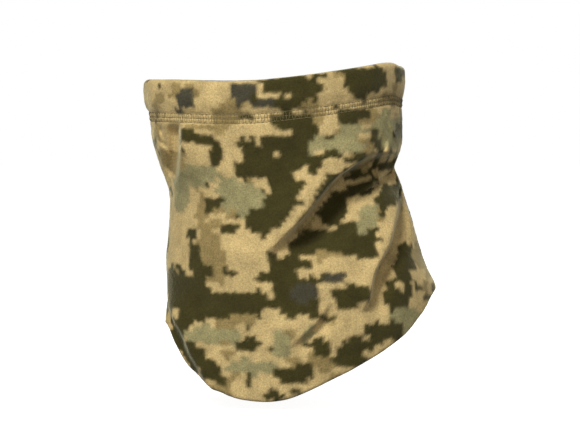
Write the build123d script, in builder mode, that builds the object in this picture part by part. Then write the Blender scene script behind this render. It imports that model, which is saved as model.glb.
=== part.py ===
from build123d import *
import math
import os

# A fleece neck gaiter, opened out as it sits on a wearer's face and neck.
# Frame: +Z up, origin at the centre of the upper (face) opening. -X is the wearer's front, where the
# nose and throat push the cloth out, and +X is the nape, where the cloth bunches. All sizes in mm.

# ---- driving dimensions ----
FLEECE = 2.8                 # thickness of one layer of pile fleece
RIM_HALF_LENGTH = 95.0       # upper rim, half its front-to-back length
RIM_HALF_WIDTH = 73.0        # upper rim, half its side-to-side width
RIM_TILT = 3.2               # the rim rises towards the nape by this many degrees
CASING_DEPTH = 23.0          # puffed hem from the rim down to the stitching
CASING_SWELL = 2.6           # how far the puffed hem stands proud of the stitched band
BAND_DEPTH = 9.0             # flat band that carries the hem stitching
TURNBACK_INSET = 8.6         # from the outside of the hem to the outside of the turned-in layer
ROLL_RADIUS = 2.6            # rounding of the rolled rim
BACK_CENTRE = 1.0            # the turned-in layer sits this much towards the nape

NEEDLE_GAUGE = 3.2           # between neighbouring needle rows, three rows in all
NEEDLE_FIRST_ROW = 1.3       # first row below the top of the band
THREAD = 0.6                 # thickness of the needle threads
COVER_THREAD = 0.4           # thickness of the looped covering threads
THREAD_CLEARANCE = 0.05      # between a thread and the cloth it lies on
STITCH_LENGTH = 2.5          # pitch of the hem stitches
OVERLOCK_PITCH = 3.0         # pitch of the stitches over the closing seam's edge

SEAM_DEPTH = 7.0             # the closing seam's allowance, measured in from the wall
SEAM_CLEARANCE = 0.1         # between the allowance and the wall it hangs from
SEAM_TOP = -50.0             # the allowance shows below the turned-in hem
SEAM_BOTTOM = -163.0         # where its stitches end, at the lower edge

# Cross-sections below the band, from the top down:
# height, front (-X) reach, nape (+X) reach, half width
SECTIONS = [
    (-50.0, 88.5, 93.5, 69.0),
    (-62.0, 85.0, 92.0, 67.2),
    (-71.0, 81.5, 89.2, 66.0),
    (-86.0, 77.0, 94.3, 65.2),
    (-107.0, 76.5, 101.6, 66.3),
    (-131.0, 79.0, 108.5, 69.0),
    (-158.0, 79.5, 118.5, 73.0),
    (-180.0, 80.0, 121.0, 75.0),
    (-210.0, 80.0, 120.0, 76.0),
    (-256.0, 78.0, 118.0, 75.0),
]

# The lower edge seen from the side, front to nape: it hangs lowest beside the throat.
LOWER_EDGE = [
    (-92.0, -168.0),
    (-80.0, -190.0),
    (-62.0, -218.0),
    (-38.0, -238.0),
    (-8.0, -244.0),
    (30.0, -235.0),
    (75.0, -209.0),
    (104.0, -187.0),
    (118.0, -161.0),
    (128.0, -140.0),
]
EDGE_START = (0.4, -1.0)     # direction of the lower edge at the front
EDGE_END = (0.3, 1.0)        # and at the nape
BELOW_ALL = -300.0           # a height under everything
SIDE_REACH = 200.0           # half the depth of tools that cut right through the tube

os.makedirs("parts", exist_ok=True)


def rim_plane(depth: float, centre: float = 0.0) -> Plane:
    """A plane across the hem, depth below the rim, tilted as the rim is."""
    tilt = math.radians(RIM_TILT)
    normal = Vector(-math.sin(tilt), 0, math.cos(tilt))
    forward = Vector(math.cos(tilt), 0, math.sin(tilt))
    return Plane(origin=forward * centre - normal * depth, x_dir=forward, z_dir=normal)


def hem_column(top: float, bottom: float, inset: float, centre: float = 0.0) -> Part:
    """A solid elliptical column of the hem between two depths, inset from the rim's outline."""
    with BuildPart() as column:
        with BuildSketch(rim_plane(bottom, centre)):
            Ellipse(RIM_HALF_LENGTH - inset, RIM_HALF_WIDTH - inset)
        extrude(amount=bottom - top)
    return column.part


def body_column(inset: float) -> Part:
    """The solid below the hem, inset from the outside of the cloth, before the lower edge is cut."""
    hem_end = CASING_DEPTH + BAND_DEPTH
    with BuildPart() as column:
        with BuildSketch(rim_plane(hem_end)):
            Ellipse(RIM_HALF_LENGTH - CASING_SWELL - inset, RIM_HALF_WIDTH - CASING_SWELL - inset)
        for height, front, nape, half_width in SECTIONS:
            with BuildSketch(Plane(origin=((nape - front) / 2, 0, height))):
                Ellipse((nape + front) / 2 - inset, half_width - inset)
        loft(ruled=True)
    return column.part


def nape_reach(height: float) -> float:
    """How far the outside of the cloth reaches towards the nape at a height below the hem."""
    for upper, lower in zip(SECTIONS, SECTIONS[1:]):
        if lower[0] <= height <= upper[0]:
            share = (upper[0] - height) / (upper[0] - lower[0])
            return upper[2] + share * (lower[2] - upper[2])
    raise ValueError(f"no cross-section reaches height {height}")


def below_edge() -> Part:
    """Everything under the lower edge, as a tool that runs right through the tube."""
    with BuildPart() as tool:
        with BuildSketch(Plane.XZ.offset(-SIDE_REACH)):
            with BuildLine():
                edge = Spline(LOWER_EDGE, tangents=[EDGE_START, EDGE_END])
                Polyline(
                    edge @ 1,
                    (SIDE_REACH, LOWER_EDGE[-1][1]),
                    (SIDE_REACH, BELOW_ALL),
                    (-SIDE_REACH, BELOW_ALL),
                    (-SIDE_REACH, LOWER_EDGE[0][1]),
                    edge @ 0,
                )
            make_face()
        extrude(amount=2 * SIDE_REACH)
    return tool.part


def ring_of_bars(semi_long: float, semi_wide: float, centre: float) -> Part:
    """The covering thread's crossings, one upright bar per stitch around an ellipse of the hem."""
    first = CASING_DEPTH + NEEDLE_FIRST_ROW
    height = 2 * NEEDLE_GAUGE + THREAD
    with BuildLine(rim_plane(first + NEEDLE_GAUGE, centre)) as path:
        EllipticalCenterArc((0, 0), semi_long, semi_wide, start_angle=0, arc_size=360)
    outline = path.edges()[0]
    count = round(outline.length / STITCH_LENGTH)
    up = rim_plane(0).z_dir
    stations = [index / count for index in range(count)]
    spots = [Plane(origin=outline @ along, x_dir=outline % along, z_dir=up) for along in stations]
    with BuildPart() as bars:
        with Locations(*spots):
            Box(COVER_THREAD, COVER_THREAD, height)
    return bars.part


def needle_ring(row: int) -> Part:
    """One needle thread, running round on the outside of the band over the covering thread."""
    depth = CASING_DEPTH + NEEDLE_FIRST_ROW + row * NEEDLE_GAUGE
    lift = 2 * THREAD_CLEARANCE + COVER_THREAD
    inner_long = RIM_HALF_LENGTH - CASING_SWELL + lift
    inner_wide = RIM_HALF_WIDTH - CASING_SWELL + lift
    with BuildPart() as ring:
        with BuildSketch(rim_plane(depth + THREAD / 2)):
            Ellipse(inner_long + THREAD, inner_wide + THREAD)
            Ellipse(inner_long, inner_wide, mode=Mode.SUBTRACT)
        extrude(amount=THREAD)
    return ring.part


hem_end = CASING_DEPTH + BAND_DEPTH
turnback_inner = TURNBACK_INSET + FLEECE
lower_cut = below_edge()
inside_wall = body_column(FLEECE)

# ---- the fleece panel: rolled rim, puffed hem, stitched band and the tube below ----
with BuildPart() as fleece_panel:
    add(hem_column(0, CASING_DEPTH, 0))
    rim_edges = fleece_panel.edges().group_by(Axis.Z)[-1]
    fillet(rim_edges, ROLL_RADIUS)
    add(hem_column(CASING_DEPTH, hem_end, CASING_SWELL))
    add(body_column(0))
    add(hem_column(FLEECE, CASING_DEPTH, FLEECE), mode=Mode.SUBTRACT)
    add(hem_column(CASING_DEPTH, hem_end, CASING_SWELL + FLEECE), mode=Mode.SUBTRACT)
    add(hem_column(-FLEECE, FLEECE, turnback_inner, BACK_CENTRE), mode=Mode.SUBTRACT)
    add(inside_wall, mode=Mode.SUBTRACT)
    add(lower_cut, mode=Mode.SUBTRACT)
fleece_panel.part.label = "fleece_panel"
export_step(fleece_panel.part, "parts/fleece_panel.step")

# ---- the panel's upper end, turned to the inside and caught by the stitching ----
with BuildPart() as hem_turnback:
    add(hem_column(FLEECE, hem_end, TURNBACK_INSET, BACK_CENTRE))
    add(hem_column(FLEECE, hem_end, turnback_inner, BACK_CENTRE), mode=Mode.SUBTRACT)
hem_turnback.part.label = "hem_turnback"
export_step(hem_turnback.part, "parts/hem_turnback.step")

# ---- the closing seam's allowance: both ends of the panel, laid together on the inside ----
with BuildPart() as seam_allowance:
    add(body_column(FLEECE + SEAM_CLEARANCE))
    with BuildSketch(Plane.XY.offset(BELOW_ALL)):
        with Locations((SIDE_REACH / 2, 0)):
            Rectangle(SIDE_REACH, 2 * FLEECE)
    extrude(amount=SEAM_TOP - BELOW_ALL, mode=Mode.INTERSECT)
    add(lower_cut, mode=Mode.SUBTRACT)
    add(body_column(FLEECE + SEAM_DEPTH), mode=Mode.SUBTRACT)
seam_allowance.part.label = "seam_allowance"
export_step(seam_allowance.part, "parts/seam_allowance.step")

# ---- overlock stitches over the allowance's free edge ----
overlock_lift = THREAD_CLEARANCE + COVER_THREAD
overlock_count = int((SEAM_TOP - SEAM_BOTTOM) / OVERLOCK_PITCH)
overlock_heights = [SEAM_TOP - (index + 0.5) * OVERLOCK_PITCH for index in range(overlock_count)]
free_edge = [nape_reach(height) - FLEECE - SEAM_DEPTH for height in overlock_heights]
overlock_spots = [(x - overlock_lift, 0, height) for x, height in zip(free_edge, overlock_heights)]
with BuildPart() as overlock_thread:
    with Locations(*overlock_spots):
        Box(COVER_THREAD, 2 * FLEECE, COVER_THREAD)
overlock_thread.part.label = "overlock_thread"
export_step(overlock_thread.part, "parts/overlock_thread.step")

# ---- the hem stitching: three needle threads, the covering thread outside, the looper inside ----
for row, name in enumerate(["needle_thread_upper", "needle_thread_middle", "needle_thread_lower"]):
    needle_thread = needle_ring(row)
    needle_thread.label = name
    export_step(needle_thread, f"parts/{name}.step")

outside_lift = THREAD_CLEARANCE + COVER_THREAD / 2
cover_thread = ring_of_bars(
    RIM_HALF_LENGTH - CASING_SWELL + outside_lift, RIM_HALF_WIDTH - CASING_SWELL + outside_lift, 0
)
cover_thread.label = "cover_thread"
export_step(cover_thread, "parts/cover_thread.step")

looper_thread = ring_of_bars(
    RIM_HALF_LENGTH - turnback_inner - outside_lift,
    RIM_HALF_WIDTH - turnback_inner - outside_lift,
    BACK_CENTRE,
)
looper_thread.label = "looper_thread"
export_step(looper_thread, "parts/looper_thread.step")
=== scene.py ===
"""A worn fleece neck gaiter: the cloth, its hem and stitches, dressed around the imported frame."""
import logging
import math
from dataclasses import dataclass
from enum import Enum
from typing import Sequence

import bpy
import numpy as np
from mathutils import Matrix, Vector


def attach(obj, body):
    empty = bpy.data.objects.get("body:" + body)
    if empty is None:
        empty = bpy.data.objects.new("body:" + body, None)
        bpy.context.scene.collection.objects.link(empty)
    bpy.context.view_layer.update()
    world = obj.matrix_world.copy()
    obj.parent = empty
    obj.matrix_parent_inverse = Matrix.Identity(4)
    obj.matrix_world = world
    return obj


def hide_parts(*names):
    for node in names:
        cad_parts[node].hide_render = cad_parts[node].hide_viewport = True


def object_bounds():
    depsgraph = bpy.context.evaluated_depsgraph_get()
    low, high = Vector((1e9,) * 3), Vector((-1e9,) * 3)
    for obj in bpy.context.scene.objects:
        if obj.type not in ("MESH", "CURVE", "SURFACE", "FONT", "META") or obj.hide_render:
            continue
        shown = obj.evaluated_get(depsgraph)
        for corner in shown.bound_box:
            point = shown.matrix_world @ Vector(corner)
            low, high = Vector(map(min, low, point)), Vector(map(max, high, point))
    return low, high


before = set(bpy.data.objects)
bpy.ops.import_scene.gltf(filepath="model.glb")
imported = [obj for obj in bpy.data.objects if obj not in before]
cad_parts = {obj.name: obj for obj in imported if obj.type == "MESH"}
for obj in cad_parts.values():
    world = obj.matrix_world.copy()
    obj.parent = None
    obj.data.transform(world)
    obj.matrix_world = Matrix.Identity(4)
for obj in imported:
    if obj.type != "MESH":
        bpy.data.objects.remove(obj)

LOG = logging.getLogger("gaiter")
MM = 0.001
FRAME_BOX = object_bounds()
ROOT = "root"
FULL_TURN = 2 * math.pi
TABLE_DEPTH = 260.0  # the outline is tabulated this far below the rim
LOWEST = 258.0  # and never read deeper than this
NEEDLE_GAUGE = 3.2  # between neighbouring rows of the hem's stitches
NEEDLE_RADIUS = 0.22
COVER_RADIUS = 0.17
THREAD_SIDES = 6
CURVE_STEPS = 48

Pair = tuple[float, float]
Array = np.ndarray
Piece = bpy.types.Object
Tree = bpy.types.NodeTree
Material = bpy.types.Material


class Side(Enum):
    """The two flanks of the worn tube; -Y is the wearer's left."""

    NEAR = -1
    FAR = 1


class Tone(Enum):
    """The five tones of the printed pattern."""

    SAND = 0
    OLIVE = 1
    SAGE = 2
    CHARCOAL = 3
    KHAKI = 4


# ---- small helpers


def linear(hex_colour: str) -> tuple[float, float, float, float]:
    """Turn an sRGB hex colour into linear RGBA.

    Args:
        hex_colour: a hash and six hex digits.

    Returns:
        Red, green, blue and alpha.
    """
    digits = hex_colour.lstrip("#")
    values = [int(digits[i : i + 2], 16) / 255 for i in (0, 2, 4)]
    channels = [v / 12.92 if v <= 0.04045 else ((v + 0.055) / 1.055) ** 2.4 for v in values]
    return (channels[0], channels[1], channels[2], 1.0)


def smooth_step(low: float, high: float, value: Array) -> Array:
    """Rise smoothly from 0 at low to 1 at high."""
    share = np.clip((value - low) / (high - low), 0.0, 1.0)
    return share * share * (3 - 2 * share)


def smoothed(fine: Array, at: Array, values: Array, spread: Array | float) -> Array:
    """Read a table at fine steps and smooth it over its neighbours.

    Args:
        fine: the positions to read it at.
        at: the table's positions.
        values: the table's values.
        spread: width of the smoothing.

    Returns:
        One value for each fine position.
    """
    width = np.broadcast_to(spread, fine.shape)[:, None]
    weights = np.exp(-(((fine[:, None] - fine[None, :]) / width) ** 2))
    return weights @ np.interp(fine, at, values) / weights.sum(1)


def unit(vectors: Array) -> Array:
    """Scale the vectors on the last axis to length 1."""
    return vectors / np.linalg.norm(vectors, axis=-1, keepdims=True)


def add_node(
    tree: Tree, kind: str, settings: dict | None = None, links: dict | None = None
) -> bpy.types.Node:
    """Add one shader node with its settings and links.

    Args:
        tree: the material's node tree.
        kind: the node's type name, after ShaderNode.
        settings: properties by name, and input values by socket name.
        links: the output socket that feeds each input, by the input's name or number.

    Returns:
        The new node.
    """
    node = tree.nodes.new("ShaderNode" + kind)
    for name, value in (settings or {}).items():
        if hasattr(node, name):
            setattr(node, name, value)
        else:
            node.inputs[name].default_value = value
    for name, output in (links or {}).items():
        tree.links.new(output, node.inputs[name])
    return node


def blank_material(name: str, values: dict) -> tuple[Material, Tree, bpy.types.Node]:
    """Make a node material.

    Args:
        name: the material's name.
        values: the sockets that are the same all over.

    Returns:
        It, its node tree and its shader.
    """
    material = bpy.data.materials.new(name)
    material.use_nodes = True
    shader = material.node_tree.nodes["Principled BSDF"]
    for socket, value in values.items():
        shader.inputs[socket].default_value = value
    return material, material.node_tree, shader


def make_mesh(name: str, points: Array, faces: Sequence[Sequence[int]]) -> Piece:
    """Make a smooth-shaded mesh object.

    Args:
        name: the piece's name.
        points: x, y, z of each vertex, in millimetres.
        faces: vertex numbers of each face.

    Returns:
        The linked object.
    """
    mesh = bpy.data.meshes.new(name)
    mesh.from_pydata((np.asarray(points) * MM).tolist(), [], [list(face) for face in faces])
    mesh.polygons.foreach_set("use_smooth", [True] * len(mesh.polygons))
    mesh.validate()
    mesh.update()
    piece = bpy.data.objects.new(name, mesh)
    bpy.context.scene.collection.objects.link(piece)
    return piece


def ring_faces(rows: int, around: int, closed: bool, rod: bool = False) -> list[tuple[int, ...]]:
    """Faces between rings of vertices, row by row.

    Args:
        rows: how many rings there are.
        around: vertices in each ring.
        closed: True where the last ring joins the first.
        rod: True to turn the faces round, and to cap both ends of an open rod.

    Returns:
        The vertex numbers of each face.
    """
    faces = []
    for row in range(rows if closed else rows - 1):
        here, there = row * around, (row + 1) % rows * around
        for step in range(around):
            beside = (step + 1) % around
            faces.append((here + step, here + beside, there + beside, there + step))
    if rod:
        faces = [tuple(reversed(face)) for face in faces]
    if rod and not closed:
        last = (rows - 1) * around
        faces += [tuple(range(around)), tuple(reversed(range(last, last + around)))]
    return faces


def place(piece: Piece, slot: str, *nodes: str) -> None:
    """Ride a piece on the gaiter's body.

    Args:
        piece: the finished piece.
        slot: the record's material slot; not used.
        nodes: the frame nodes that it stands for.
    """
    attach(piece, ROOT)
    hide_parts(*nodes)


def ripple(points: Array, wavelength: float, seed: int, waves: int = 7) -> Array:
    """Smooth irregular waves through space, from about -1 to 1.

    Args:
        points: x, y, z on the last axis.
        wavelength: their middle length.
        seed: makes the same waves every run.
        waves: how many are added up.

    Returns:
        One value for each point.
    """
    shortest, longest, usual_peak = 0.7, 1.5, 1.4
    random = np.random.default_rng(seed)
    total = np.zeros(points.shape[:-1])
    for _ in range(waves):
        direction = random.normal(size=3)
        direction /= np.linalg.norm(direction)
        length = wavelength * random.uniform(shortest, longest)
        total += np.sin(points @ direction * (FULL_TURN / length) + random.uniform(0, FULL_TURN))
    return total / math.sqrt(waves) / usual_peak


# ---- the worn shape


@dataclass(frozen=True)
class Crease:
    """One fold of the cloth, following a line on the gaiter's flank.

    The line is seen from the side, as (x, z), with its shadow side to the right. Past hollow_offset
    the cloth is sunk by hollow, which fades over hollow_width. The overhang slides the crest over
    the hollow. The strengths scale the fold along its line; the far side has far_share of it.
    """

    name: str
    line: tuple[Pair, ...]
    crest: float
    lit_width: float
    drop_width: float
    hollow: float
    hollow_offset: float
    hollow_width: float
    overhang: float
    strength: tuple[float, ...]
    far_share: float

    def path(self) -> Array:
        """Run a smooth curve through the line's points.

        Returns:
            x, z at each step.
        """
        given = np.array(self.line, float)
        padded = np.vstack([2 * given[0] - given[1], given, 2 * given[-1] - given[-2]])
        spans = len(given) - 1
        curve = []
        for share in np.linspace(0, spans, CURVE_STEPS):
            span = min(int(share), spans - 1)
            t = share - span
            a, b, c, d = padded[span : span + 4]
            bend = 2 * a - 5 * b + 4 * c - d
            twist = -a + 3 * b - 3 * c + d
            curve.append(0.5 * (2 * b + (c - a) * t + bend * t * t + twist * t**3))
        return np.array(curve)

    def relief(self, x: Array, z: Array) -> tuple[Array, Array, Array]:
        """How far the fold pushes and slides the cloth.

        Args:
            x: positions front to nape.
            z: heights.

        Returns:
            The push outward, and the slides along x and z.
        """
        curve = self.path()
        spot = np.stack([x, z], -1)
        best = np.full(x.shape, np.inf)
        signed, share, across_x, across_z = np.zeros((4, *x.shape))
        spans = len(curve) - 1
        for number, (start, end) in enumerate(zip(curve[:-1], curve[1:])):
            along = end - start
            length = float(np.hypot(*along))
            heading = along / length
            offset = spot - start
            held = np.clip(offset @ heading, 0, length)
            gap = offset - held[..., None] * heading
            distance = np.hypot(gap[..., 0], gap[..., 1])
            side = offset[..., 0] * heading[1] - offset[..., 1] * heading[0]
            nearer = distance < best
            best = np.where(nearer, distance, best)
            signed = np.where(nearer, np.copysign(distance, side), signed)
            share = np.where(nearer, (number + held / length) / spans, share)
            across_x = np.where(nearer, heading[1], across_x)
            across_z = np.where(nearer, -heading[0], across_z)
        power = np.interp(share, np.linspace(0, 1, len(self.strength)), self.strength)
        width = np.where(signed < 0, self.lit_width, self.drop_width)
        push = self.crest * np.exp(-((signed / width) ** 2))
        lip_line, lip_spread, nearly_there = -1.0, 1.5, 0.7
        behind = smooth_step(lip_line, nearly_there * self.hollow_offset, signed)
        past = np.clip(signed - self.hollow_offset, 0, None)
        valley = np.exp(-((past / self.hollow_width) ** 2))
        push = push - self.hollow * behind * valley
        lip = self.overhang * np.exp(-(((signed - lip_line) / (self.drop_width + lip_spread)) ** 2))
        return push * power, lip * power * across_x, lip * power * across_z


# Seen from the wearer's left side, x to the nape and z up, in millimetres. After each line: crest,
# lit width, drop width; hollow, its offset and width; overhang; the strengths and the far share.
CREASES: tuple[Crease, ...] = (
    Crease("nose_ridge", ((-66, -33), (-65.5, -45), (-66, -60), (-68.5, -74), (-73, -88)),
           6.5, 11, 2.6, 13, 6, 6, 1.2, (0.4, 1, 1, 0.8, 0), 0.3),
    Crease("jaw_fold", ((-9, -132), (2, -121.5), (9, -113.5), (20, -101), (29.7, -87.6),
                        (40.5, -75), (50.4, -67.8), (65, -59.3), (75, -56.5), (94, -58)),
           8, 16, 3.4, 28, 12, 17, 3.5,
           (0, 0.3, 0.6, 0.9, 1, 1, 1, 0.8, 0.6, 0.45), 0.75),
    Crease("nape_lap", ((54, -97), (61, -88), (69.5, -82), (74.5, -78), (82, -72.5), (90, -69)),
           6.5, 6, 2.6, 8, 5, 5, 2, (0, 0.4, 0.9, 1, 0.8, 0.2), 0.6),
    Crease("nape_fold", ((62, -174), (67.5, -163), (69, -153), (71.5, -143), (76.5, -134),
                         (81.5, -126), (85, -115), (88.5, -104.5), (91, -94.5)),
           8, 11, 3, 15, 7, 9, 3,
           (0, 0.6, 0.9, 1, 1, 1, 1, 0.8, 0.4), 0.7),
    Crease("throat_fold", ((-82, -164), (-76, -171), (-71, -181), (-64, -193), (-58, -205),
                           (-53, -214), (-46, -228)),
           7, 14, 2.8, 12, 6, 6, 2.6, (0.6, 1, 1, 0.9, 0.8, 0.7, 0.5), 0.6),
    Crease("ear_wrinkle", ((73, -36), (82, -46), (84, -52), (79, -63)),
           3.6, 3.5, 2.4, 3.2, 4.2, 3, 0.6, (0, 1, 0.9, 0), 0.5),
    Crease("ear_pleat", ((83, -33), (87, -42), (93, -52)),
           3.6, 3, 2.2, 3.4, 4, 3, 0.5, (0.2, 1, 0.3), 0.5),
    Crease("shoulder_crease", ((8, -200), (22, -188), (33, -177), (41, -164)),
           3, 9, 2.8, 4.2, 5, 6, 0.6, (0, 0.9, 1, 0), 0.5),
    Crease("cheek_slit_long", ((-79.5, -56), (-84.5, -43), (-89.5, -30)),
           1.6, 3, 1.8, 3.4, 2.2, 1.8, 0.4, (0, 1, 0.6), 0.4),
    Crease("cheek_slit_short", ((-78, -58), (-82, -54), (-87, -49)),
           1.2, 2.5, 1.6, 2.4, 2, 1.6, 0.3, (0, 1, 0), 0.4),
    Crease("back_pinch", ((76.5, -136), (77.5, -130), (78, -125)),
           1.8, 2.4, 1.8, 2.4, 2.6, 2.2, 0.3, (0, 1, 0), 0),
    Crease("cheek_swell", ((-20, -104), (-22, -130), (-24, -158)),
           3.2, 16, 24, 0, 10, 10, 0, (0.2, 1, 0.4), 0.5),
)

# The bare outlines: depth below the rim, front (-X) reach, nape (+X) reach, half width.
LEVELS: tuple[tuple[float, float, float, float], ...] = (
    (0, 96, 96.6, 72.6), (8, 96.8, 97.2, 73.4), (16, 96.6, 97.2, 73.4),
    (20.5, 95, 96.6, 72.2), (24, 92.8, 95.6, 70.7), (31, 92, 95, 70.2),
    (42, 90.6, 95, 69.8), (53, 88, 94.8, 68.8), (60, 86, 93.4, 68),
    (66, 84.2, 90.8, 67.4), (71, 82.6, 88.4, 67), (76, 80.6, 91.2, 66.5),
    (86, 77.4, 94.6, 66), (96, 76.4, 97.8, 66.2), (107, 76.8, 101.8, 66.8),
    (121, 78.4, 106, 68), (137, 79.4, 110.8, 70.2), (147, 79.6, 115, 71.6),
    (156, 79.2, 119.6, 72.8), (168, 78.2, 121, 74), (183, 79.6, 121, 75.5),
    (212, 79, 120, 76), (252, 77, 117, 75),
)

# The cut lower edge seen from the side: front to nape reach, height.
LOWER_EDGE: tuple[Pair, ...] = (
    (-84, -172), (-80, -184), (-76, -198), (-67, -213), (-54, -229),
    (-30, -243), (-8, -246), (10, -244), (31, -235), (60, -220),
    (82, -206), (102, -191), (113, -176), (119, -163), (122, -152),
)


@dataclass
class WornShape:
    """The outside of the cloth as it sits on a face and neck.

    The grooves, each a width and a depth, are where stitches draw the cloth in.
    """

    roll: float = 4.4
    band_depth: float = 27.4
    eye_distance: float = 2400.0
    mean_radius: float = 80.0
    row_groove: Pair = (0.9, 0.55)
    seam_groove: Pair = (1.4, 0.9)
    edge_smoothing: float = 8.0
    edge_rounds: int = 12
    far_edge_lift: float = 9.0

    def __post_init__(self) -> None:
        """Smooth the outlines, less in the hem than below it, and the lower edge."""
        table, edge = np.array(LEVELS), np.array(LOWER_EDGE)
        self.steps = np.linspace(0, TABLE_DEPTH, 1041)
        spread = np.where(self.steps < 50, 1.6, 3.0)
        columns = (table[:, number] for number in (1, 2, 3))
        self.outline = [smoothed(self.steps, table[:, 0], column, spread) for column in columns]
        self.edge_steps = np.linspace(-100, 140, 241)
        self.edge = smoothed(self.edge_steps, edge[:, 0], edge[:, 1], self.edge_smoothing)

    def rim_height(self, x: Array) -> Array:
        """The rim dips a little over the cheek and climbs to the nape."""
        climb = 12.4 * np.clip((x + 15) / 100, 0, 1) ** 1.4
        dip = np.exp(-(((x + 38) / 30) ** 2))
        return -5.4 - dip + climb - 2.5 * smooth_step(89, 97, x)

    def rim_at(self, angle: Array) -> Array:
        """Height of the rim at each angle round the tube."""
        centre, length, _ = self.level(np.zeros_like(angle))
        return self.rim_height(centre + length * np.cos(angle))

    def level(self, depth: Array) -> tuple[Array, Array, Array]:
        """Centre, half length and half width of the outline at each depth."""
        front, nape, width = (np.interp(depth, self.steps, column) for column in self.outline)
        return (nape - front) / 2, (nape + front) / 2, width

    def lower_height(self, angle: Array) -> Array:
        """Find the lower edge in rounds, because the outline changes with height.

        Args:
            angle: round the tube.

        Returns:
            Its height at each angle.
        """
        height = np.full(angle.shape, -215.0)
        for _ in range(self.edge_rounds):
            centre, length, width = self.level(-height)
            x = centre + length * np.cos(angle)
            near = np.clip(-np.sin(angle), 0, 1) * width / self.eye_distance
            aim = np.interp(x, self.edge_steps, self.edge) * (1 - near)
            far = np.clip(np.sin(angle), 0, 1)
            height = 0.5 * height + 0.5 * (aim + self.far_edge_lift * far)
        return height

    def looseness(self, base: Array, angle: Array, depth: Array, width: Array) -> Array:
        """How far the cloth wanders off its outline, and in at its stitches.

        Args:
            base: x, y, z on the outline.
            angle: round the tube.
            depth: below the rim.
            width: half width of the outline.

        Returns:
            The distance outward.
        """
        swell = 1.5 * ripple(base, 85, 11) + 0.45 * ripple(base, 30, 12)
        hem = 1 - smooth_step(20.5, 24.5, depth)
        upright = base * np.array([1, 1, 0.25])
        gather = 0.8 * ripple(upright, 17, 13) * hem * smooth_step(6, 14, depth)
        wide, deep = self.row_groove
        below = depth - self.band_depth
        rows = sum(np.exp(-(((below - row * NEEDLE_GAUGE) / wide) ** 2)) for row in (-1, 0, 1))
        seam_wide, seam_deep = self.seam_groove
        seam = np.exp(-((width * np.sin(angle) / seam_wide) ** 2)) * (np.cos(angle) > 0)
        loose = swell * (0.25 + 0.75 * smooth_step(30.0, 37.0, depth)) + gather
        return loose - deep * rows - seam_deep * seam

    def surface(self, angle: Array, depth: Array) -> Array:
        """Points on the outside of the cloth.

        Args:
            angle: round the tube; 0 is the nape, and three quarters of a turn the near side.
            depth: below the rim.

        Returns:
            x, y, z on the last axis.
        """
        rim = self.rim_at(angle)
        z = rim - depth
        settle = smooth_step(34, 80, depth)
        centre, length, width = self.level(np.clip(-(z - rim * (1 - settle)), 0, LOWEST))
        above = np.clip(self.roll - depth, 0, None)
        inset = self.roll - np.sqrt(np.clip(self.roll**2 - above**2, 0, None))
        shrink = 1 - inset / self.mean_radius
        x = (centre + length * np.cos(angle)) * shrink
        y = width * np.sin(angle) * shrink
        side = np.where(np.sin(angle) < 0, Side.NEAR.value, Side.FAR.value)
        flank = smooth_step(0.04, 0.38, np.abs(np.sin(angle)))
        below_hem = smooth_step(30.0, 37.0, depth)
        total = np.zeros((3, *x.shape))
        for crease in CREASES:
            total += np.stack(crease.relief(x, z)) * np.where(side < 0, 1.0, crease.far_share)
        push, slide_x, slide_z = total
        loose = self.looseness(np.stack([x, y, z], -1), angle, depth, width)
        out_x, out_y = np.cos(angle) / length, np.sin(angle) / width
        norm = np.hypot(out_x, out_y)
        x = x + loose * out_x / norm + slide_x * flank * below_hem
        y = y + loose * out_y / norm + push * below_hem * flank * side
        z = z + slide_z * flank * below_hem
        return np.stack([x, y, z], -1)

    def normals(self, angle: Array, depth: Array) -> Array:
        """Outward unit normals of the surface at the given places."""
        step = 0.35
        turn = step / self.mean_radius
        above = np.clip(depth - step, 0, None)
        across = self.surface(angle + turn, depth) - self.surface(angle - turn, depth)
        down = self.surface(angle, depth + step) - self.surface(angle, above)
        return unit(np.cross(down, across))


# ---- the print


@dataclass(frozen=True)
class Patch:
    """One blot of a tone, in print cells: columns to the nape, rows down, and its half sizes."""

    tone: Tone
    column: float
    row: float
    half_columns: float
    half_rows: float
    lean: float = 0.0


S, O, G, C, K = Tone.SAND, Tone.OLIVE, Tone.SAGE, Tone.CHARCOAL, Tone.KHAKI
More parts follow.
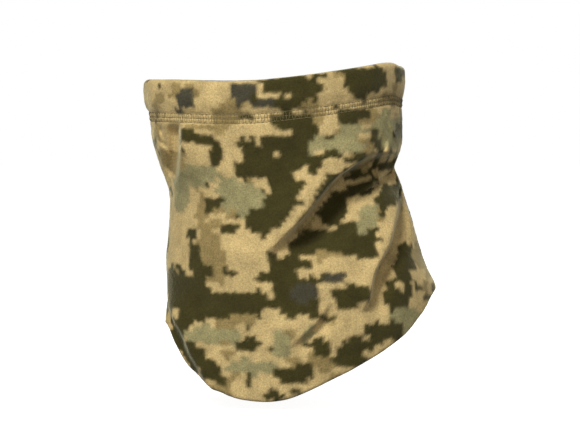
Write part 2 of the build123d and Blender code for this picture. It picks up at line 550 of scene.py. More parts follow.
# Tone, column, row, half columns, half rows and lean of each; later ones cover earlier ones.
PATCHES: tuple[Patch, ...] = tuple(Patch(*row) for row in (
    # hem
    (K, -22.2, 6, 1.2, 1.9), (K, -19.2, 3.8, 1, 2), (C, -16.6, 5.4, 2.4, 2.2),
    (C, -17.6, 7.4, 1, .8), (C, -5.8, 4, 2.9, 2.1), (C, -6.4, 6.2, .9, .9), (O, 2.8, 4.4, 5.8, 3.5),
    (C, -2, 6.2, 2.5, 1), (O, 4.6, 1.8, 3.6, 2), (S, -3, 3.4, .6, 1.3), (S, -.8, 4.9, 2.1, .6),
    (S, 3.1, 4.6, .9, .5), (S, -3.9, 7.6, 1.5, 1), (O, 18.1, 1.6, 5.3, 3.1),
    (O, 17.2, 4.6, 1.7, 1.2), (S, 22.7, 2.2, .8, 1.8), (O, 24.6, 0, 1, 1.4), (K, 22.4, 5.2, 2.7, 1),
    (S, 16.4, 6.2, 2.2, .6), (O, 9.6, .6, 1.2, .8),
    # under the stitching
    (O, 4.2, 9.2, 4.6, 1.6), (O, -5.4, 8.8, 1.6, .9), (K, -13.4, 10.8, 3.6, .9),
    (O, -16.6, 12.4, 1.4, 1.4), (O, -13.4, 13.4, 2.3, 1.2), (O, -11.2, 15.9, 1.2, 2.3),
    (O, .8, 17.2, 7.8, 4.8), (O, 6.2, 13, 3.2, 3.8), (O, -5.8, 19.1, 2.3, 2.2),
    (S, -1.8, 11.9, 4.6, .8), (S, .6, 16, .9, .5), (O, 15.3, 9.2, 3.3, 1.9), (S, 10.9, 9.8, 1.5, 2),
    (G, 22, 11.6, 3.6, 3.9), (G, 15.8, 11.8, 2.9, 1.4), (G, 12.9, 14.4, 5.4, 2.3),
    (O, 11, 12.9, 1.4, .9), (O, 19.7, 13.4, 1, 1.8), (O, 24.4, 11.4, 1, 1.8), (K, 18.2, 9.8, 2, .9),
    (O, 10.8, 17, 2.9, 1.2), (O, 15.8, 17.6, 3.6, .9), (O, 21.4, 17, 3.5, 1.2),
    (K, -22.4, 11.6, .7, 1.8), (K, -21.2, 16.6, .6, 1.4), (O, -22.8, 14, .5, 1),
    (S, 18.6, 18.7, 4, .8), (S, -8.4, 15.2, 1.2, 3.8),
    # nose and mouth
    (G, -14.8, 20.6, 4.8, 2), (G, -18.2, 23.8, 1.7, 3.4), (G, -5.2, 24.8, 4.9, 3.2),
    (G, -9, 21.8, 2.6, 1.5), (O, 2.4, 24, 4.5, 4.6), (O, -1, 30, 4.3, 3.4),
    (S, 5.6, 20.2, 1.2, 1.1), (O, -8.6, 30.8, 1.9, .9), (O, -11.6, 25.8, 1.6, 1.6),
    (O, -14.2, 29.6, .8, 1.3), (K, -12.8, 36, 3.4, 6.6), (O, -16, 31.8, .9, 1.3),
    (S, -5.4, 36.6, 3.2, 5.6), (O, -8.7, 39.8, 1.4, .8), (O, -15.6, 36.2, 1, 2.6),
    (K, -8, 27.8, .8, 1),
    # the jaw fold and the hollow under it
    (O, 11.4, 24, 3.3, 4.4), (O, 16.2, 20.9, 4, 2), (O, 9.2, 31.8, 6.4, 3.4),
    (O, 17.4, 34.8, 3.2, 2.9), (O, 22, 23.8, 2.9, 3.4), (G, 18.2, 28.2, 2.8, 3.6),
    (S, 15.6, 26.6, 1.3, 2.6), (S, 17.6, 24.4, 1.7, 1), (S, 19.6, 21.8, .9, 1.6),
    (S, 22.9, 29.6, 1.5, 2.6), (S, 22.2, 33.4, .9, 1.8), (S, 26.2, 30.4, 1.2, 2),
    (S, 7.4, 23.6, 1.3, 2.8, -.75), (S, 4.4, 28.4, 1.3, 3.2, -.8), (S, .6, 32.8, 1.9, 2.8, -.8),
    (O, 14.6, 31.4, 1.8, 1.6), (O, 11.4, 27, 2.6, 2.4), (O, 13.4, 30.2, 3, 1.4),
    (O, 19, 31.8, 1.2, 1.6),
    # throat and shoulder
    (O, -16.2, 43.4, 4.8, 5.6), (O, -7.2, 45.8, 6.6, 3.2), (K, -6.6, 48.6, 3.6, 1),
    (O, 3.4, 39.4, 5.6, 3.9), (O, 4.6, 43.8, 4.4, 4.8), (C, 6, 43, 2.6, 1.9),
    (S, 6.9, 38.8, 2.2, 1), (S, 13.9, 37.6, 6, 1.5), (S, 16.4, 40, 2.9, 1.8),
    (C, 11.8, 40.3, 1.9, 1.3), (O, 14.9, 44, 3.8, 2.5), (S, 10, 45.2, 1, 2.6, -.2),
    (O, 10.5, 48, 2.1, .9), (O, 25.6, 36.4, 2.3, 3.7), (O, 24.4, 43.2, 3.5, 4.2),
    (S, 25, 41.8, .9, .8), (S, 20.6, 44.2, 1.6, 4.2), (K, 29.2, 35, 1.5, 2.4),
    (O, 28.2, 41.6, .8, .7), (S, 28.4, 44.4, 1.5, 1.9), (O, 30, 44, .9, .9), (G, 26.2, 49, 3, 2.6),
    (S, 28.6, 39.4, 1.6, 1), (O, -14.8, 46.6, 3, 2),
    # lower edge
    (O, 21.2, 50.8, 4.8, 2.1), (O, 17, 53, 3.2, 1.4), (O, 14.5, 55.6, 3.8, 2.1),
    (S, 15.2, 49.4, 3.2, 2), (G, 1.4, 53.6, 1.6, 2.8), (G, 6.6, 50.6, .8, 1.8, -.6),
    (G, -4, 57.3, 5, 1.6), (O, -4.5, 53.2, 2.8, 1.3), (G, -12.4, 51.4, 5.4, 1.9),
    (O, -18.2, 50.6, 1.6, 3.4), (O, -15.6, 55.2, 1.8, 2.8, .5), (O, -11.6, 59.4, 2, 2.6, .7),
    (O, 4.3, 58.7, 3.6, 1.7), (O, 9.3, 54, 1.8, 1.9), (K, 9.9, 57.2, 2, 1.6), (O, .2, 63, 1.6, .7),
    (O, 4.6, 62.2, 1.4, .5), (K, -9.4, 55, 1.6, 1), (K, 3.6, 56.4, 1.4, .9), (O, 7.2, 53, .9, .7),
))
SHADES: dict[Tone, str] = {S: "#C1A872", O: "#3B3617", G: "#938A5F", C: "#423E2F", K: "#917D4E"}


@dataclass
class BlockyPrint:
    """A field pattern of square cells in five tones, printed on the cloth before it was sewn.

    Sizes are in millimetres. The placed patches reach near_reach round from the near side's middle.
    """

    worn: WornShape
    cell: float = 3.8
    bleed: float = 1.25
    rows_above: int = 6
    seed: int = 41
    nearness: float = 0.03
    mean_length: float = 92.0
    mean_width: float = 70.0
    near_reach: float = 133.0
    print_foot: float = 250.0

    def __post_init__(self) -> None:
        """Draw the random numbers once, in a fixed order."""
        random = np.random.default_rng(self.seed)
        self.grain = random.normal(size=(3, 96, 192))
        self.blots = random.normal(size=(3, 96, 192))

    def arc(self, angle: Array) -> Array:
        """Distance round from the middle of the near side; the print breaks at the nape's seam."""
        fine = np.linspace(-1.5 * math.pi, 0.5 * math.pi, 1441)
        speed = np.hypot(self.mean_length * np.cos(fine), self.mean_width * np.sin(fine))
        run = np.concatenate([[0], np.cumsum((speed[1:] + speed[:-1]) / 2 * np.diff(fine))])
        run -= np.interp(0, fine, run)
        turn = angle % FULL_TURN - 1.5 * math.pi
        return np.interp(turn, fine, run)

    def side_view(self, column: Array, row: Array) -> tuple[Array, Array]:
        """Column and row as seen from the side, foreshortened towards front and nape."""
        fine = np.linspace(-math.pi / 2, math.pi / 2, 361)
        run = self.arc(np.clip(fine + 1.5 * math.pi, 0, FULL_TURN - 1e-6)) / self.cell
        turn = np.interp(column, run, fine)
        centre, length, _ = self.worn.level(np.clip(row * self.cell, 0, self.print_foot))
        nearer = 1 + self.nearness * np.cos(turn)
        return (centre + length * np.sin(turn)) * nearer / self.cell, row * nearer

    def blur(self, layer: Array, spread: float) -> Array:
        """Smooth a layer of random numbers over its neighbours, wrapping round."""
        rows, columns = layer.shape
        row = np.fft.fftfreq(rows)[:, None]
        column = np.fft.fftfreq(columns)[None, :]
        keep = np.exp(-2 * (math.pi * spread) ** 2 * (row**2 + column**2))
        smooth = np.real(np.fft.ifft2(np.fft.fft2(layer) * keep))
        return smooth / smooth.std()

    def strewn(self) -> Array:
        """Tones of the far side's cells, from the seeded numbers alone."""
        coarse, fine, pale = self.blots
        dark = self.blur(coarse, 2.6) * 0.7 + self.blur(fine, 1.0) * 0.55 + self.grain[1] * 0.15
        pale = self.blur(pale, 2.6) * 0.8 + self.blur(self.grain[2], 1.0) * 0.4
        tone = np.where(dark < -0.85, Tone.KHAKI.value, Tone.SAND.value)
        tone = np.where(dark > 0.06, Tone.OLIVE.value, tone)
        tone = np.where((pale > 0.85) & (dark < 0.7), Tone.SAGE.value, tone)
        return np.where((dark > 0.55) & (pale < -0.75), Tone.CHARCOAL.value, tone)

    def placed(self, column: Array, row: Array) -> Array:
        """Tones of the near side: ragged patches, and a few crumbs between them.

        Args:
            column: each cell's column as seen from the side.
            row: its row, likewise.

        Returns:
            The tone number of every cell.
        """
        squareness = 2.4
        ragged = self.blur(self.grain[0], 0.8) * 0.42 + self.grain[1] * 0.06
        ragged = np.clip(ragged, -0.5, 0.55)
        chosen = np.full(column.shape, Tone.SAND.value)
        chosen = np.where(self.blur(self.blots[1], 1.5) > 1.0, Tone.KHAKI.value, chosen)
        chosen = np.where(self.blur(self.grain[2], 0.7) > 1.8, Tone.OLIVE.value, chosen)
        for patch in PATCHES:
            down = row - patch.row
            over = column - patch.column - patch.lean * down
            fill = 1 - (np.abs(over) / patch.half_columns) ** squareness
            fill = fill - (np.abs(down) / patch.half_rows) ** squareness
            chosen = np.where(fill + ragged > 0.0, patch.tone.value, chosen)
        return chosen

    def cells(self) -> Array:
        """Tone of every cell; the middle column is the near side's."""
        rows, columns = self.grain.shape[1:]
        column = np.arange(columns)[None, :] - columns / 2 + 0.5 + np.zeros((rows, 1))
        row = np.arange(rows)[:, None] - self.rows_above + 0.5 + np.zeros((1, columns))
        reach = np.abs(column) * self.cell + 5 * self.blur(self.blots[0], 2.0)
        placed = self.placed(*self.side_view(column, row))
        return np.where(reach < self.near_reach, placed, self.strewn())

    def colour(self, angle: Array, fall: Array, places: Array) -> Array:
        """Linear colour of the cloth at each place.

        Args:
            angle: round the tube.
            fall: distance below the origin's level.
            places: x, y, z, which make the pile's small wandering.

        Returns:
            RGBA on the last axis.
        """
        cells = self.cells()
        rows, columns = cells.shape
        tones = np.array([linear(SHADES[tone]) for tone in Tone])
        over = self.arc(angle) + 0.75 * ripple(places, 6.0, 71) + 0.3 * ripple(places, 3.0, 73)
        down = fall + 0.75 * ripple(places, 6.0, 72) + 0.3 * ripple(places, 3.0, 74)
        mixed = np.zeros(over.shape + (4,))
        taps = [(0.0, 0.0, 0.10)]
        for reach, share, start in ((0.55, 0.11, 0.2), (1.25, 0.07, 0.8)):
            for turn in np.linspace(start, start + FULL_TURN, 5, endpoint=False):
                taps.append((math.cos(turn) * reach, math.sin(turn) * reach, share))
        for aside, along, share in taps:
            column = np.floor((over + aside * self.bleed) / self.cell).astype(int) + columns // 2
            row = np.floor((down + along * self.bleed) / self.cell).astype(int) + self.rows_above
            row = np.clip(row, 0, rows - 1)
            mixed += share * tones[cells[row, column % columns]]
        return mixed


# ---- finishes


@dataclass(frozen=True)
class PrintedFleece:
    """Polyester pile fleece: knitted, brushed up on both faces, sheared and printed.

    The pile scatters light softly, glows at folds seen edge-on and blurs the print. Its grain is
    drawn coarser than the real fibres, so that it shows.
    """

    name: str
    pile_mm: float = 1.1
    mottle_mm: float = 12.0
    roughness: float = 0.95
    sheen: float = 0.42

    def material(self) -> Material:
        """Build the material from the print stored on the mesh.

        Returns:
            The finished material.
        """
        material, tree, shader = blank_material(self.name, {
            "Roughness": self.roughness,
            "Specular IOR Level": 0.15,
            "Sheen Weight": self.sheen,
            "Sheen Roughness": 0.38,
            "Sheen Tint": linear("#E6E0B8"),
        })
        dye = add_node(tree, "Attribute", {"attribute_name": "print"})
        spot = {"Vector": add_node(tree, "TexCoord").outputs["Object"]}
        pile_look = {"Scale": 1 / (self.pile_mm * MM), "Detail": 3.0, "Roughness": 0.65}
        pile = add_node(tree, "TexNoise", pile_look, spot)
        mottle_look = {"Scale": 1 / (self.mottle_mm * MM), "Detail": 2.0}
        mottle = add_node(tree, "TexNoise", mottle_look, spot)
        tuft = add_node(tree, "TexVoronoi", {"Scale": 1 / (2.1 * self.pile_mm * MM)}, spot)
        shares = {}
        for noise, *ends in ((pile, 0.28, 0.72, 0.66, 1.26), (mottle, 0.25, 0.75, 0.80, 1.16)):
            look = dict(zip(("From Min", "From Max", "To Min", "To Max"), ends))
            share = add_node(tree, "MapRange", look, {"Value": noise.outputs["Fac"]})
            shares[len(shares)] = share.outputs["Result"]
        both = add_node(tree, "Math", {"operation": "MULTIPLY"}, shares)
        tinted = add_node(tree, "VectorMath", {"operation": "SCALE"},
                          {"Vector": dye.outputs["Color"], "Scale": both.outputs["Value"]})
        tufts = add_node(tree, "Bump", {"Strength": 0.35, "Distance": 0.5 * MM},
                         {"Height": tuft.outputs["Distance"]})
        nap = add_node(tree, "Bump", {"Strength": 0.7, "Distance": 0.45 * MM},
                       {"Height": pile.outputs["Fac"], "Normal": tufts.outputs["Normal"]})
        tree.links.new(tinted.outputs["Vector"], shader.inputs["Base Color"])
        tree.links.new(nap.outputs["Normal"], shader.inputs["Normal"])
        return material


@dataclass(frozen=True)
class SpunThread:
    """Spun polyester sewing thread, dyed sand: two twisted plies with a faint lustre."""

    name: str
    colour: str = "#80714A"
    shaded: str = "#594D30"
    twist_mm: float = 0.7
    roughness: float = 0.62

    def material(self) -> Material:
        """Build the material, with the twist as small flecks.

        Returns:
            The finished material.
        """
        values = {"Roughness": self.roughness, "Specular IOR Level": 0.3}
        material, tree, shader = blank_material(self.name, values)
        spot = {"Vector": add_node(tree, "TexCoord").outputs["Object"]}
        twist_look = {"Scale": 1 / (self.twist_mm * MM), "Detail": 1.0}
        twist = add_node(tree, "TexNoise", twist_look, spot)
        ply = add_node(tree, "Mix", {"data_type": "RGBA"}, {0: twist.outputs["Fac"]})
        ply.inputs[6].default_value = linear(self.shaded)
        ply.inputs[7].default_value = linear(self.colour)
        bump = add_node(tree, "Bump", {"Strength": 0.5, "Distance": 0.1 * MM},
                        {"Height": twist.outputs["Fac"]})
        tree.links.new(ply.outputs[2], shader.inputs["Base Color"])
        tree.links.new(bump.outputs["Normal"], shader.inputs["Normal"])
        return material


@dataclass(frozen=True)
class StudioPaper:
    """Matt white seamless paper; its glow hides where it meets the sky."""

    name: str = "studio_paper_matt"
    colour: str = "#C4C4C2"
    glow: float = 0.92

    def material(self) -> Material:
        """A plain pale sheet."""
        return blank_material(self.name, {
            "Base Color": linear(self.colour),
            "Emission Color": linear("#FFFFFF"),
            "Emission Strength": self.glow,
            "Roughness": 0.9,
            "Specular IOR Level": 0.1,
        })[0]


# ---- cloth pieces


@dataclass
class Fleece:
    """The cloth of the tube, the turned-in hem and the allowance, where it is pressed thinner."""

    shape: WornShape
    pattern: BlockyPrint
    finish: Material
    thickness: float = 2.7
    pressed: float = 0.92
    around: int = 360

    def angles(self) -> Array:
        """Angles round the tube, one for each column of vertices."""
        return np.linspace(0, FULL_TURN, self.around, endpoint=False)

    def reverse(self, colours: Array) -> Array:
        """The print as it shows on the cloth's back, paler where the dye only strikes through."""
        pale = np.array(linear("#B7A57E"))
        return colours * 0.55 + pale * 0.45

    def dress(self, piece: Piece, colours: Array) -> Piece:
        """Print a piece and give it the cloth's material.

        Args:
            piece: the mesh object.
            colours: linear RGBA of each vertex.

        Returns:
            The same piece.
        """
        layer = piece.data.color_attributes.new("print", "FLOAT_COLOR", "POINT")
        layer.data.foreach_set("color", np.asarray(colours, np.float32).ravel())
        piece.data.materials.append(self.finish)
        return piece


@dataclass
class TubePiece:
    """The gaiter's panel: outside face, rolled rim, inner face and the cut lower edge.

    Follow is how far the print keeps to the cloth, not to its height, where a fold pushes it out.
    """

    cloth: Fleece
    body_rows: int = 142
    inner_rows: int = 46
    follow: float = 0.4
    hem_foot: float = 35.0
    rim_step: float = 1.4

    def depths(self) -> Array:
        """Depth of every outside ring below the rim, closer together round the hem's foot.

        Returns:
            One row for each ring.
        """
        shape, angle = self.cloth.shape, self.cloth.angles()
        drop = shape.rim_at(angle) - shape.lower_height(angle)
        puffed, band = np.linspace(shape.roll, 21.5, 15), np.linspace(22.3, self.hem_foot, 18)
        hem = np.concatenate([puffed, band])
        share = np.linspace(0, 1, self.body_rows + 1)[1:, None]
        body = self.hem_foot + (drop - self.cloth.thickness / 2 - self.hem_foot)[None, :] * share
        return np.vstack([np.repeat(hem[:, None], self.cloth.around, 1), body])

    def rim_rings(self, top: Array, normal: Array) -> tuple[list[Array], list[Array]]:
        """Rings over the rolled rim and back down inside it.

        Args:
            top: the highest ring of the outside face.
            normal: its outward normals.

        Returns:
            The rings in view, and the rings hidden under them.
        """
        roll, up, tuck = self.cloth.shape.roll, np.array([0, 0, 1.0]), 1.5
        level_out = unit(normal * np.array([1, 1, 0]))
        heart = top - roll * level_out

        def ring(radius: float, turn: float, lower: float = 0.0) -> Array:
            """A ring at a radius from the roll's heart and a turn from the outside."""
            beside = math.cos(turn) * level_out + math.sin(turn) * up
            return heart + radius * beside - lower * up

        inner = roll - self.cloth.thickness
        over = [ring(roll, math.radians(turn)) for turn in range(18, 181, 18)]
        under = [ring(roll, math.pi, tuck), ring(inner, math.pi, tuck)]
        under += [ring(inner, math.radians(turn)) for turn in (180, 120, 60, 0)]
        return over, under

    def build(self) -> Piece:
        """Build the closed mesh and print it.

        Returns:
            The finished piece.
        """
        cloth, depth = self.cloth, self.depths()
        angle = np.repeat(cloth.angles()[None, :], len(depth), 0)
        outer = cloth.shape.surface(angle, depth)
        across = np.roll(outer, -1, 1) - np.roll(outer, 1, 1)
        normal = unit(np.cross(np.gradient(outer, axis=0), across))
        uneven_pile = 0.10 * ripple(outer, 3.2, 31, 11) + 0.12 * ripple(outer, 6.5, 32, 9)
        outer = outer + normal * uneven_pile[..., None]
        over, under = self.rim_rings(outer[0], normal[0])
        picks = np.linspace(0, len(outer) - 1, self.inner_rows).round().astype(int)[1:]
        inner = outer[picks] - normal[picks] * cloth.thickness
        downward = unit(outer[-1] - outer[-2])
        end = (outer[-1] + inner[-1]) / 2 + downward * (cloth.thickness / 2)
        rings = [*outer[::-1], *over, *under, *inner, end]
        faces = ring_faces(len(rings), cloth.around, True)
        piece = make_mesh("gaiter_tube", np.array(rings).reshape(-1, 3), faces)

        _, _, width = cloth.shape.level(np.clip(-outer[..., 2], 0, LOWEST))
        relief = np.abs(outer[..., 1]) - width * np.abs(np.sin(angle))
        fall = -outer[..., 2] + self.follow * relief
        colour = cloth.pattern.colour
        face = colour(angle, fall, outer)
        turned = [colour(angle[0], fall[0] - step * self.rim_step, ring)
                  for step, ring in enumerate(over, 1)]
        hidden = [face[0]] * 2 + [cloth.reverse(face[0])] * 4
        colours = [*face[::-1], *turned, *hidden, *cloth.reverse(face[picks]), face[-1]]
        return cloth.dress(piece, np.array(colours))


@dataclass
class TurnedHem:
    """The panel's upper end, turned to the inside and held by the stitching.

    The insets are how far in its face lies, each after its depth. Its print is another stretch of
    the pattern.
    """

    cloth: Fleece
    rows: int = 26
    foot: float = 31.8
    insets: tuple[Pair, ...] = ((4.8, 8.5), (10, 9.6), (18, 9.0), (23, 6.4), (27, 6.0), (31.8, 6.3))
    squeeze: float = 0.3
    print_shift: float = 60.0

    def build(self) -> Piece:
        """Build the turned-in layer as a closed band.

        Returns:
            The finished piece.
        """
        cloth, shape = self.cloth, self.cloth.shape
        depth_line = np.linspace(shape.roll + 0.4, self.foot, self.rows)
        angle = np.repeat(cloth.angles()[None, :], self.rows, 0)
        depth = np.repeat(depth_line[:, None], cloth.around, 1)
        outside = shape.surface(angle, depth)
        normal = unit(shape.normals(angle, depth) * np.array([1, 1, 0]))
        inset = np.interp(depth_line, *np.array(self.insets).T)[:, None, None]
        wave = 0.5 * ripple(outside, 22, 51)[..., None]
        visible = outside - normal * (inset + wave)
        hidden = visible + normal * (cloth.thickness - self.squeeze)
        lip = (visible[-1] + hidden[-1]) / 2 - np.array([0, 0, cloth.thickness / 2])
        rings = [*visible, lip, *hidden[::-1]]
        faces = ring_faces(len(rings), cloth.around, True)
        piece = make_mesh("hem_turned_in", np.array(rings).reshape(-1, 3), faces)
        face = cloth.pattern.colour(angle, self.print_shift + depth, visible)
        return cloth.dress(piece, np.array([*face, face[-1], *cloth.reverse(face[::-1])]))


@dataclass
class SeamFin:
    """Both ends of the panel, laid together along the inside of the nape.

    The profile goes round both layers: shares of their reach and of their half width.
    """

    cloth: Fleece
    reach: float = 7.0
    rows: int = 70
    start: float = 44.0
    end_margin: float = 2.0
    profile: tuple[Pair, ...] = (
        (0.0, 1.0), (0.35, 1.06), (0.75, 1.0), (0.94, 0.82), (1.0, 0.35), (0.93, 0.06),
        (1.0, -0.35), (0.94, -0.82), (0.75, -1.0), (0.35, -1.06), (0.0, -1.0),
    )

    def half(self) -> float:
        """Half the width of the two layers together."""
        return self.cloth.thickness * self.cloth.pressed

    def line(self) -> tuple[Array, Array]:
        """Follow the seam down the wall's inner face.

        Returns:
            The points, and the depth of each.
        """
        shape, nape, gap = self.cloth.shape, np.zeros(self.rows), 0.1
        drop = shape.rim_at(np.zeros(1)) - shape.lower_height(np.zeros(1))
        depth = np.linspace(self.start, float(drop[0]) - self.end_margin, self.rows)
        inward = shape.normals(nape, depth) * (self.cloth.thickness + gap)
        return shape.surface(nape, depth) - inward, depth

    def build(self) -> Piece:
        """Build the allowance as two layers pressed together.

        Returns:
            The finished piece.
        """
        wall, _ = self.line()
        sway = 0.6 * ripple(wall, 26, 61)
        outline = []
        for share, side in self.profile:
            ring = wall.copy()
            ring[:, 0] -= share * self.reach
            ring[:, 1] += side * self.half() + sway * share
            outline.append(ring)
        places = np.array(outline).transpose(1, 0, 2).reshape(-1, 3)
        faces = ring_faces(self.rows, len(self.profile), False, True)
        piece = make_mesh("seam_allowance_fin", places, faces)
        turn_per_mm, turn_start = 0.012, 1.2
        angle = places[:, 0] * turn_per_mm + turn_start
        colour = self.cloth.pattern.colour(angle, -places[:, 2], places)
        return self.cloth.dress(piece, self.cloth.reverse(colour))


# ---- threads


def thread_tube(name: str, path: Array, radius: float, closed: bool, finish: Material) -> Piece:
    """Make a thin round thread along a path.

    Args:
        name: the piece's name.
        path: points in millimetres.
        radius: the thread's radius.
        closed: True where the end joins the start.
        finish: the thread's material.

    Returns:
        The finished piece.
    """
    ahead = np.roll(path, -1, 0) - np.roll(path, 1, 0)
    if not closed:
        ahead[0], ahead[-1] = path[1] - path[0], path[-1] - path[-2]
    ahead = unit(ahead)
    out = path - path.mean(0)
    out = unit(out - (out * ahead).sum(1, keepdims=True) * ahead)
    beside = np.cross(ahead, out)
    turns = np.linspace(0, FULL_TURN, THREAD_SIDES, endpoint=False)
    rings = [path + radius * (math.cos(turn) * out + math.sin(turn) * beside) for turn in turns]
    points = np.array(rings).transpose(1, 0, 2)
    faces = ring_faces(len(path), THREAD_SIDES, closed, True)
    piece = make_mesh(name, points.reshape(-1, 3), faces)
    piece.data.materials.append(finish)
    return piece


@dataclass
class HemStitching:
    """Three-needle coverstitch: needle rows, a thread across them outside and a looper inside.

    Length is the way round the band. The lean packs the crossings in pairs.
    """

    shape: WornShape
    finish: Material
    stitch: float = 2.5
    cover_pitch: float = 3.9
    length: float = 512.0
    lean: float = 0.42
    steps_per_stitch: int = 6
    steps_per_crossing: int = 10
    needle_sink: float = -0.25
    looper_lift: float = -6.15

    def thread(self, name: str, angle: Array, depth: Array, lift: Array, radius: float) -> Piece:
        """Lay a closed thread round the hem.

        Args:
            name: the piece's name.
            angle: round the tube.
            depth: below the rim.
            lift: height above the outside of the cloth.
            radius: the thread's radius.

        Returns:
            The finished piece.
        """
        normal = self.shape.normals(angle, depth)
        path = self.shape.surface(angle, depth) + normal * lift[..., None]
        return thread_tube(name, path, radius, True, self.finish)

    def needle_row(self, row: int, name: str) -> Piece:
        """One needle thread, sinking into the pile at every needle hole.

        Args:
            row: 0 for the upper row, 2 for the lower one.
            name: the piece's name.

        Returns:
            The finished piece.
        """
        stitches = round(self.length / self.stitch)
        angle = np.linspace(0, FULL_TURN, stitches * self.steps_per_stitch, endpoint=False)
        depth = np.full(angle.shape, self.shape.band_depth + (row - 1) * NEEDLE_GAUGE)
        lift = self.needle_sink + 0.55 * np.abs(np.sin(angle * stitches / 2))
        return self.thread(name, angle, depth, lift, NEEDLE_RADIUS)

    def zigzag(self, name: str, inside: bool) -> Piece:
        """The thread that crosses between the outer needle rows.

        Args:
            name: the piece's name.
            inside: True for the looper thread, under the cloth.

        Returns:
            The finished piece.
        """
        periods = round(self.length / self.cover_pitch)
        count = periods * self.steps_per_crossing
        phase = np.linspace(0, FULL_TURN * periods, count, endpoint=False)
        angle = (phase - self.lean * np.sin(2 * phase)) / periods
        depth = self.shape.band_depth + np.sin(phase) * NEEDLE_GAUGE
        looped = np.full(angle.shape, self.looper_lift)
        lift = looped if inside else 0.02 + 0.16 * np.cos(phase) ** 2
        return self.thread(name, angle, depth, lift, COVER_RADIUS)


@dataclass
class SeamStitching:
    """Overlock loops over the free edge of the closing seam."""

    fin: SeamFin
    finish: Material
    pitch: float = 3.0
    margin: float = 2.0
    bite: float = 2.0
    throw: float = 2.45
    steps_per_loop: int = 14

    def build(self) -> Piece:
        """Loop one thread over the allowance's edge and back, all the way down.

        Returns:
            The finished piece.
        """
        wall, depth = self.fin.line()
        travel = float(depth[-1] - depth[0]) - 2 * self.margin
        loops = round(travel / self.pitch)
        phase = np.linspace(0, FULL_TURN * loops, loops * self.steps_per_loop)
        at = depth[0] + self.margin + travel * phase / phase[-1]
        path = np.stack([np.interp(at, depth, wall[:, axis]) for axis in range(3)], -1)
        half = self.fin.half() + 0.25
        path[:, 0] -= self.fin.reach - self.bite + self.throw * np.cos(phase)
        path[:, 1] += half * np.clip(1.6 * np.sin(phase), -1, 1)
        return thread_tube("overlock_loops", path, NEEDLE_RADIUS, False, self.finish)


# ---- studio


def stand(name: str, data: bpy.types.ID, spot: Sequence[float], aim: Sequence[float]) -> Piece:
    """Stand a light or a camera at a spot.

    Args:
        name: the object's name.
        data: the light or camera.
        spot: where it stands.
        aim: the point that it looks at.

    Returns:
        The linked object.
    """
    holder = bpy.data.objects.new(name, data)
    holder.location = spot
    direction = Vector([there - here for there, here in zip(aim, spot)])
    holder.rotation_euler = direction.to_track_quat("-Z", "Y").to_euler()
    bpy.context.scene.collection.objects.link(holder)
    return holder


@dataclass(frozen=True)
class Softbox:
    """A square light: where it stands and its side in metres, and its power in watts."""

    name: str
    spot: tuple[float, float, float]
    side: float
    power: float

    def build(self, aim: Vector) -> None:
        """Hang the light and aim it at a point."""
        lamp = bpy.data.lights.new(self.name, "AREA")
        lamp.size = self.side
        lamp.energy = self.power
        stand(self.name, lamp, self.spot, aim)


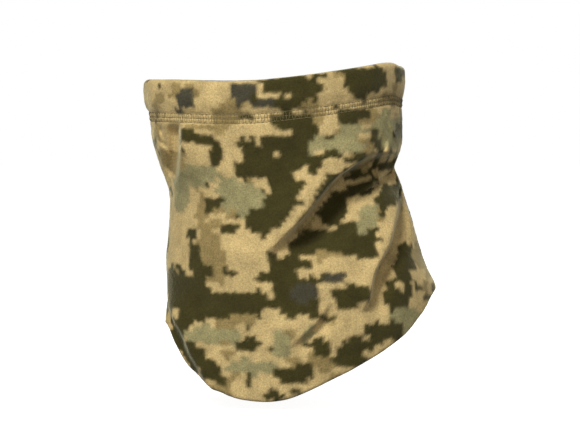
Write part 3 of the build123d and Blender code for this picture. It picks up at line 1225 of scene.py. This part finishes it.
@dataclass
class Studio:
    """A pale floor, soft lights and a long-lens camera level with the rim; sizes in metres."""

    lens: float = 201.0
    distance: float = 2.4
    aim_rise: float = 0.0098
    floor_reach: float = 6.0
    floor_gap: float = 0.0005
    air: float = 0.23
    paper: StudioPaper = StudioPaper()
    lights: tuple[Softbox, ...] = (
        Softbox("softbox_left", (-0.45, -1.35, 1.05), 0.55, 31.0),
        Softbox("softbox_front", (0.1, -1.9, 0.2), 1.0, 7.0),
        Softbox("softbox_back", (0.6, 1.5, 0.9), 1.2, 17.0),
    )

    def floor(self, height: float) -> None:
        """Lay a wide round sheet at a height.

        Args:
            height: in metres.
        """
        around, reach = 64, self.floor_reach / MM
        turns = np.linspace(0, FULL_TURN, around, endpoint=False)
        level = np.full(around, height / MM)
        rim = np.stack([reach * np.cos(turns), reach * np.sin(turns), level], -1)
        sheet = make_mesh("studio_floor", rim, [tuple(range(around))])
        sheet.data.materials.append(self.paper.material())
        sheet.visible_diffuse = False

    def sky(self) -> None:
        """White air for the camera, and dim air for everything that it lights."""
        world = bpy.data.worlds.new("studio_air")
        world.use_nodes = True
        tree = world.node_tree
        rays = add_node(tree, "LightPath")
        glow = add_node(tree, "MapRange", {"To Min": self.air, "To Max": 1.0},
                        {"Value": rays.outputs["Is Camera Ray"]})
        background = tree.nodes["Background"]
        background.inputs["Color"].default_value = (1, 1, 1, 1)
        tree.links.new(glow.outputs["Result"], background.inputs["Strength"])
        bpy.context.scene.world = world

    def build(self) -> None:
        """Set the floor, the lights, the sky and the camera round the frame's box."""
        low, high = FRAME_BOX
        centre = (low + high) / 2
        self.floor(low.z - self.floor_gap)
        for light in self.lights:
            light.build(centre)
        self.sky()
        scene = bpy.context.scene
        scene.view_settings.view_transform = "Standard"
        camera = bpy.data.cameras.new("camera")
        camera.lens = self.lens
        aim = (centre.x, 0.0, centre.z + self.aim_rise)
        scene.camera = stand("camera", camera, (centre.x, -self.distance, 0.0), aim)


def main() -> None:
    """Build every piece of the gaiter, dress it and set the studio round it."""
    logging.basicConfig(level=logging.INFO, format="%(message)s")
    shape = WornShape()
    pattern = BlockyPrint(shape)
    fleece = Fleece(shape, pattern, PrintedFleece("printed_pile_fleece_brushed").material())
    thread = SpunThread("spun_polyester_thread_dyed").material()

    tube = TubePiece(fleece).build()
    place(tube, "camo_fleece", "fleece_panel")
    LOG.info("tube: %d faces", len(tube.data.polygons))

    turned = TurnedHem(fleece).build()
    place(turned, "camo_fleece", "hem_turnback")
    LOG.info("turned-in hem: %d faces", len(turned.data.polygons))

    fin = SeamFin(fleece)
    allowance = fin.build()
    place(allowance, "camo_fleece", "seam_allowance")
    loops = SeamStitching(fin, thread).build()
    place(loops, "hem_thread", "overlock_thread")
    LOG.info("closing seam: %d faces", len(allowance.data.polygons) + len(loops.data.polygons))

    stitching = HemStitching(shape, thread)
    for row, level in enumerate(("upper", "middle", "lower")):
        needle = stitching.needle_row(row, f"needle_row_{level}")
        place(needle, "hem_thread", f"needle_thread_{level}")
    place(stitching.zigzag("cover_zigzag", False), "hem_thread", "cover_thread")
    place(stitching.zigzag("looper_zigzag", True), "hem_thread", "looper_thread")
    LOG.info("hem stitching laid")

    Studio().build()


if __name__ == "__main__":
    main()
